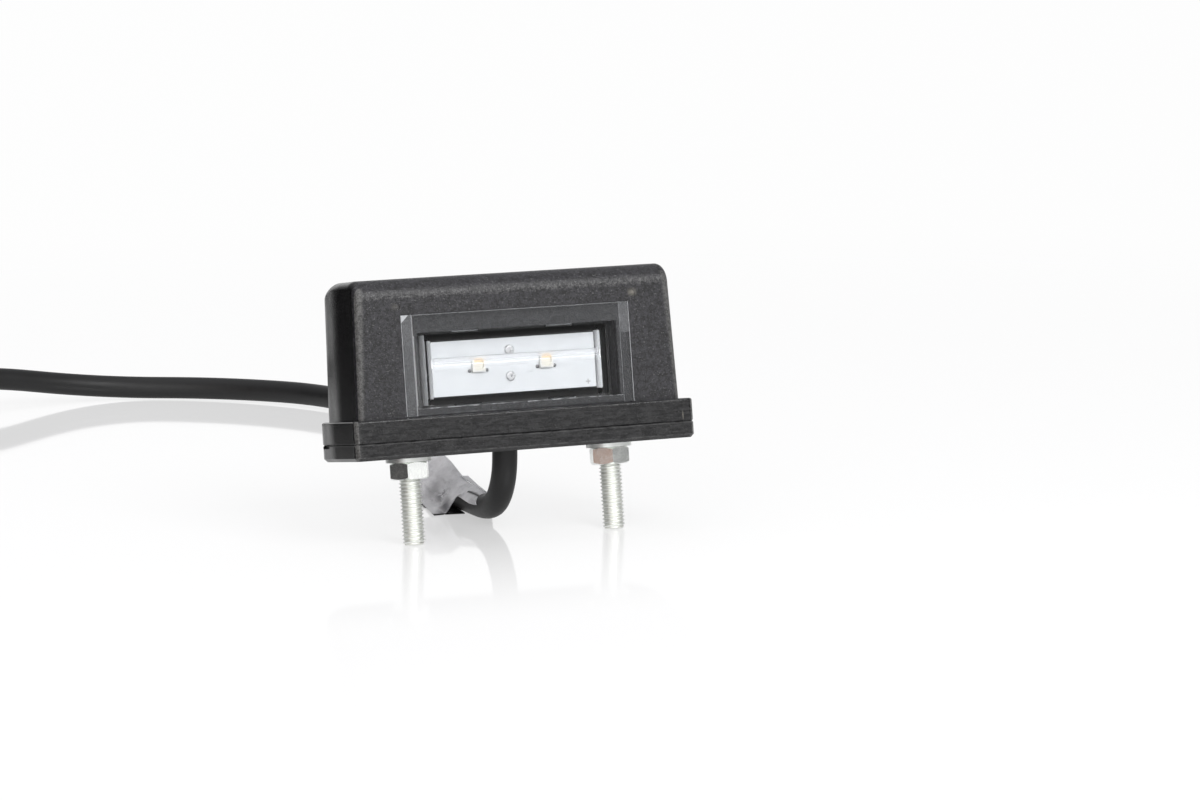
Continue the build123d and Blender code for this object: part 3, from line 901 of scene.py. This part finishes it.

# %% [markdown]
# ## Clear lens
# The lens is clear acrylic, so nearly all of its look is refraction. Its moulded edges are a little rough and
# catch the light as pale lines, which are painted: a mask of straight lines mixes a matt white into the clear
# plastic there. The tub's end walls and the rib across it mirror the white board, so the mask paints that
# reflection on them too. Faint painted light lies on the frame round the window and on the end strips, more
# on the left strip and high up on both, and a painted highlight lies on the top left corner.

# %% Finish of the lens
LENS_END_STRIP = 2.4
LENS_FRONT = -8.9
EDGE_WIDTH = 0.16
WINDOW_HALF = (23.2, 8.15)
CORNER_SIDE = 1.7
STRIP_LIT_Z = 24.0
FOOT_RISE = 0.3
FOOT_END = -6.0
WALL_FRONT = -7.2
WALL_GAP = 0.3
WALL_RIGHT = 20.4
RIB_Z = 1.2
RIB_HALF = 1.2
RIB_BLUR = 1.3
RIB_FOOT = -7.39
RIB_TOP = -6.9
RIB_LINE = 0.14


def clear_lens():
    """Clear acrylic, with painted highlights and painted reflections of the board. Rays from lamps go
    straight to the board.
    """
    material, tree, place = new_finish("lens_clear")
    x, y, z = axes_of(tree, place)
    low, high = (np.array(corner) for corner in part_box("lens"))
    board_low, board_high = (np.array(corner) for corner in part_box("led_board"))
    middle = (board_low[2] + board_high[2]) / 2
    field = high[0] - LENS_END_STRIP * MM
    width = EDGE_WIDTH * MM
    half_x, half_z = (half * MM for half in WINDOW_HALF)
    lens_patches = noise(tree, place, 900.0, 3.0, 0.6)

    ends = near(tree, abs(x), high[0], width) | near(tree, abs(x), field, width) * 0.7
    rims = near(tree, z, high[2], width) * 0.6
    dashes = ramp_up(tree, noise(tree, place, 420.0, 4.0, 0.7), 0.36, 0.62) * 0.8
    ledge = near(tree, z, middle - half_z, width) * (abs(x) < field)
    foot = near(tree, z, low[2] + FOOT_RISE * MM, width) * (x < FOOT_END * MM) * (x > -field) * 0.6
    lines = (ends | rims | (ledge | foot) * dashes) * (0.3 + 0.5 * lens_patches)
    # Painted highlight on the top left corner, and faint painted light on the end strips and the frame round
    # the window.
    corner = (x - low[0]) + (high[2] - z) < CORNER_SIDE * MM
    strip = (abs(x) > field) * (ramp_up(tree, x, 0.0, 0.01, 1.0, 0.0) | (z > STRIP_LIT_Z * MM) * 1.4)
    outside = (abs(x) > half_x) | (abs(z - middle) > half_z)
    haze = (0.05 * outside + 0.05 * strip) * (0.5 + lens_patches)
    front = (lines | corner * 0.5 | haze) * (y < LENS_FRONT * MM)

    walls = (abs(x) > board_high[0] + WALL_GAP * MM) * (x < WALL_RIGHT * MM)
    walls = walls * (y > WALL_FRONT * MM) * (abs(z - middle) < half_z)
    rib_z = middle + RIB_Z * MM
    on_rib = (y > RIB_FOOT * MM) * (y < RIB_TOP * MM) * (abs(x) < board_high[0])
    rib = on_rib * ramp_up(tree, z, rib_z - RIB_BLUR * MM, rib_z + RIB_BLUR * MM, 0.05, 0.42)
    line = on_rib * near(tree, z, rib_z + RIB_HALF * MM, RIB_LINE * MM)
    pale = front | walls | rib | line * 0.9

    glass = shader(tree, base_color=(0.97, 0.98, 0.99), roughness=0.02, ior=1.49, transmission_weight=1.0)
    white = mix_colours(tree, walls, (0.80, 0.82, 0.85), (0.93, 0.94, 0.95))
    white = mix_colours(tree, line, white, (0.40, 0.41, 0.43))
    matt = shader(tree, base_color=white, roughness=0.4)
    edged = node(tree, "ShaderNodeMixShader", {}, {0: pale, 1: glass, 2: matt})
    clear = node(tree, "ShaderNodeBsdfTransparent")
    shadow = node(tree, "ShaderNodeLightPath", output="Is Shadow Ray")
    ends_in(tree, node(tree, "ShaderNodeMixShader", {}, {0: shadow, 1: edged, 2: clear}))
    return material


dress(["lens"], clear_lens())
print("lens done")

# %% [markdown]
# ## Board, LEDs and solder
# The board is coated with white solder resist. A plain plus sign marks the supply's side. Each LED is a cream
# case with a rounded square of phosphor, deeper yellow towards the top. The finishes find the LEDs by their
# place on the board, so one material serves both. The heaps of solder beside the LEDs are painted darker than
# the two joints between them, as shade.

# %% Finish of the board
PLUS_FROM_END = 1.9
PLUS_FROM_EDGE = 1.2
PLUS_ARM = 0.55
PLUS_STROKE = 0.13


def white_board():
    """White with faint clouds, and a plus sign as two crossed bars of grey."""
    material, tree, place = new_finish("board_white")
    x, _, z = axes_of(tree, place)
    low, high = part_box("led_board")
    dx = abs(x - (high[0] - PLUS_FROM_END * MM))
    dz = abs(z - (low[2] + PLUS_FROM_EDGE * MM))
    bar_across = (dx < PLUS_ARM * MM) * (dz < PLUS_STROKE * MM)
    bar_up = (dz < PLUS_ARM * MM) * (dx < PLUS_STROKE * MM)
    cloud = noise(tree, place, 260.0, 3.0)
    colour = mix_colours(tree, cloud, (0.575, 0.59, 0.605), (0.625, 0.64, 0.655))
    colour = mix_colours(tree, bar_across | bar_up, colour, grey(0.32))
    ends_in(tree, shader(tree, base_color=colour, roughness=0.34 + 0.12 * cloud,
                         normal=bumped(tree, noise(tree, place, 1800.0, 2.0), 0.02)))
    return material


# %% Finish of the LEDs
CUP_HALF = 1.2
CUP_POWER = 4.0
DEEP_RUN = (0.2, 0.9)


def led_cream():
    """A cream case, and phosphor in a soft square about each LED's centre, deeper in colour at its top."""
    material, tree, place = new_finish("led_cream")
    x, _, z = axes_of(tree, place)
    left, right = ([(a + b) / 2 for a, b in zip(*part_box(name))] for name in ("led_left", "led_right"))
    middle = (left[0] + right[0]) / 2
    dx = abs(x - middle) - (right[0] - left[0]) / 2
    dz = z - right[2]
    inside = (abs(dx)**CUP_POWER + abs(dz)**CUP_POWER)**(1 / CUP_POWER) < CUP_HALF * MM
    deep = ramp_up(tree, dz, *(edge * MM for edge in DEEP_RUN))
    phosphor = mix_colours(tree, deep, (0.66, 0.64, 0.575), (0.78, 0.55, 0.27))
    speckle = noise(tree, place, 4000.0, 2.0)
    case = mix_colours(tree, speckle, (0.64, 0.63, 0.60), (0.70, 0.69, 0.66))
    colour = mix_colours(tree, inside, case, phosphor)
    ends_in(tree, shader(tree, base_color=colour, roughness=0.5 + 0.25 * speckle))
    return material


# %% Finish of the solder
HEAPS_FROM = 4.0


def bright_solder():
    """Dull silver metal whose sheen is uneven, with flux stains, painted darker as shade out where the LEDs
    are.
    """
    material, tree, place = new_finish("solder")
    stain = noise(tree, place, 2400.0, 3.0)
    colour = mix_colours(tree, stain, (0.42, 0.42, 0.43), (0.80, 0.80, 0.80))
    x, _, _ = axes_of(tree, place)
    # The heaps beside the LEDs are painted darker, as shade.
    colour = mix_colours(tree, (abs(x) > HEAPS_FROM * MM) * 0.8, colour, grey(0.10))
    ends_in(tree, shader(tree, base_color=colour, metallic=0.9, roughness=0.16 + 0.3 * stain,
                         normal=bumped(tree, stain, 0.05)))
    return material


solder = bright_solder()
led_solder.data.materials.append(solder)
dress(["led_board"], white_board())
dress(["led_left", "led_right"], led_cream())
dress(["solder_joint_upper", "solder_joint_lower"], solder)
print("board done")

# %% [markdown]
# ## Zinc plate
# Bolts, nuts and washers are steel with bright zinc plate, which is silver with a breath of green and has
# tiny dents from the tumbling drum. Metal shows little but the room, so the room's dark and pale sides do the
# work.

# %% Finish of the metal
CREST_RUN = (2.08, 2.42)
THREAD_RADIUS = 2.52
NUT_RADIUS = 4.75


def bright_zinc():
    """Silver with clouds in tone and sheen and tiny dents. Thread and washers are rougher, roots painted
    darker as shade.
    """
    material, tree, place = new_finish("zinc")
    x, y, _ = axes_of(tree, place)
    from_axis = abs(x) - STUD_SPACING / 2 * MM
    radius = (from_axis * from_axis + y * y)**0.5
    cloud = noise(tree, place, 420.0, 3.0, 0.6)
    dents = noise(tree, place, 1700.0, 3.0, 0.6)
    colour = mix_colours(tree, cloud, (0.87, 0.89, 0.86), (0.95, 0.96, 0.95))
    # The thread's roots are painted darker, as shade in the grooves.
    crest = ramp_up(tree, radius, *(edge * MM for edge in CREST_RUN))
    colour = mix_colours(tree, crest, (0.78, 0.79, 0.75), colour)
    rough = (radius < THREAD_RADIUS * MM) | (radius > NUT_RADIUS * MM)
    ends_in(tree, shader(tree, base_color=colour, metallic=1.0, roughness=0.12 + 0.2 * cloud + 0.22 * rough,
                         normal=bumped(tree, dents, 0.012)))
    return material


zinc = bright_zinc()
dress(["nut_left", "nut_right", "washer_left", "washer_right"], zinc)
for bolt in bolts:
    bolt.data.materials.append(zinc)
print("metal done")

# %% [markdown]
# ## Black rubber and plastic
# The cable's sheath is satin black with faint clouds in its sheen. Grommet, tie, carrier and the chips behind
# the board are black too, and differ in grain and sheen, so one function makes them all from a few numbers.

# %% Black finishes
def black_finish(name, tone, sheen, grain, depth_mm, gloss=0.5):
    """Black between half the tone and the tone, rougher in clouds, with a grain in bumps to the metre."""
    material, tree, place = new_finish(name)
    cloud = noise(tree, place, 180.0, 4.0, 0.65)
    fine = noise(tree, place, grain, 3.0, 0.6)
    colour = mix_colours(tree, cloud, grey(0.5 * tone), (tone, tone, 1.06 * tone))
    ends_in(tree, shader(tree, base_color=colour, roughness=sheen + 0.2 * cloud, specular_ior_level=gloss,
                         normal=bumped(tree, fine, depth_mm)))
    return material


# Tone, roughness, grain to the metre and its depth in mm, and for the cable a weaker gloss
cable.data.materials.append(black_finish("cable_black", 0.010, 0.36, 1100.0, 0.04, 0.36))
dress(["cable_grommet"], black_finish("grommet_rubber", 0.02, 0.6, 900.0, 0.06))
dress(["coil_tie"], black_finish("tie_black", 0.03, 0.5, 2200.0, 0.15))
dress(["board_carrier"], black_finish("carrier_black", 0.02, 0.45, 1400.0, 0.08))
dress(["diode", "resistor_left", "resistor_right"], black_finish("chip_dark", 0.035, 0.5, 2600.0, 0.05))
print("black finishes done")

# %% [markdown]
# ## Cores and their copper
# The two cores have smooth insulation, one red and one black. At the free end the strands are bare. One
# finish does both: past the sleeve's end, measured along the way that the cable points, it turns to copper.

# %% Finish of the cores
COPPER_OVERLAP = 0.02


def core_finish(name, colour):
    """Smooth insulation with faint clouds, and copper where the place lies past the sleeve's end."""
    material, tree, place = new_finish(name)
    way = table_direction(*tail_way, 0)
    start = Vector(on_table(*tail_end, CABLE_RADIUS))
    along = node(tree, "ShaderNodeVectorMath", {"operation": "DOT_PRODUCT"}, {0: place, 1: way}, "Value")
    bare = along > way.dot(start) + (CORE_LENGTH - COPPER_OVERLAP) * MM
    cloud = noise(tree, place, 500.0, 3.0)
    sleeve = mix_colours(tree, cloud, tuple(0.8 * c for c in colour), colour)
    copper = mix_colours(tree, cloud, (0.80, 0.36, 0.20), (0.95, 0.50, 0.30))
    ends_in(tree, shader(tree, base_color=mix_colours(tree, bare, sleeve, copper), metallic=bare,
                         roughness=0.28 + 0.15 * cloud))
    return material


for slot, core_colour, inner in (("core_red", (0.50, 0.03, 0.02), "core_positive"),
                                 ("core_black", (0.02, 0.02, 0.02), "core_negative")):
    insulation = core_finish(slot, core_colour)
    dress([inner], insulation)
    core_ends[slot].data.materials.append(insulation)
print("cores done")

# %% [markdown]
# ## Grey tape
# The tape is grey plastic, dull on most of its face, creased and fingered. Clouds and smudges vary its tone.
# Shade is painted into its colour: darker towards the table, darkest in a crumple and at two folds, a black
# line along the front edge, and black where it lies on the table, which takes in the whole under layer.

# %% Finish of the tape
CRUMPLE_SPOT = (-4.2, 34.5, 4.0)
CRUMPLE_REACH = 3.6
FOLD_SPOT = (-5.0, 38.0, 5.0)
MOUTH_SPOT = (-4.3, 31.5, 2.0)
FOLD_REACH = 3.4
SHADE_RUN = (0.5, 6.0)
SHADOW_LINE_HEIGHT = 6.0
SHADOW_LINE_WIDTH = 0.3
SHADOW_LINE_BACK = 24.5
SHADOW_LINE_RIGHT = 1.6
FOOT_RUN = (0.35, 0.5)
TAPE_DARK = (0.12, 0.12, 0.13)


def grey_tape():
    """Grey with soft smudges and creases in the bump, and shade painted low down, at a crumple, at folds and
    in black.
    """
    material, tree, place = new_finish("tape_grey")
    x, y, _ = axes_of(tree, place)
    upright = table_direction(0, 0, 1)
    height = node(tree, "ShaderNodeVectorMath", {"operation": "DOT_PRODUCT"}, {0: place, 1: upright}, "Value")
    height = height - upright.dot(Vector(on_table(0, 0, 0)))

    def round_spot(spot, reach):
        """1 at a spot on the table, falling to 0 at a reach in mm."""
        spot = Vector(on_table(*spot))
        gap = node(tree, "ShaderNodeVectorMath", {"operation": "DISTANCE"}, {0: place, 1: spot}, "Value")
        return near(tree, gap, 0.0, reach * MM)

    cloud = ramp_up(tree, noise(tree, place, 170.0, 4.0, 0.6), 0.3, 0.7)
    fine = noise(tree, place, 750.0, 4.0, 0.65)
    # Painted shade in a crumple and at two folds, by the tent's mouth and on its left side.
    crumple = round_spot(CRUMPLE_SPOT, CRUMPLE_REACH) * ramp_up(tree, fine, 0.42, 0.58)
    folds = round_spot(MOUTH_SPOT, FOLD_REACH) * 0.9 | round_spot(FOLD_SPOT, FOLD_REACH) * 0.55
    smudge = ramp_up(tree, noise(tree, place, 300.0, 5.0, 0.7), 0.52, 0.74)
    colour = mix_colours(tree, cloud, (0.60, 0.60, 0.62), (0.90, 0.90, 0.92))
    # Painted shade: darker towards the table.
    shade = ramp_up(tree, height, *(edge * MM for edge in SHADE_RUN), 0.2, 0.0)
    colour = mix_colours(tree, shade, colour, grey(0.18))
    colour = mix_colours(tree, smudge * 0.35 | crumple * 0.85 | folds, colour, TAPE_DARK)
    # A painted shadow: a black line along the tent's front edge, over the tongue.
    shadow_line = near(tree, height, SHADOW_LINE_HEIGHT * MM, SHADOW_LINE_WIDTH * MM)
    shadow_line = shadow_line * (y < SHADOW_LINE_BACK * MM) * (x < SHADOW_LINE_RIGHT * MM)
    # Painted shade: black where the tape lies on the table, the whole under layer too, for the dark inside of
    # the tent.
    foot = ramp_up(tree, height, *(edge * MM for edge in FOOT_RUN), 1.0, 0.0)
    colour = mix_colours(tree, shadow_line | foot, colour, grey(0.012))
    creases = noise(tree, place, 420.0, 4.0, 0.6)
    ends_in(tree, shader(tree, base_color=colour, roughness=0.38 + 0.2 * cloud,
                         normal=bumped(tree, creases + 0.3 * fine, 0.7)))
    return material


tape.data.materials.append(grey_tape())
print("tape done")
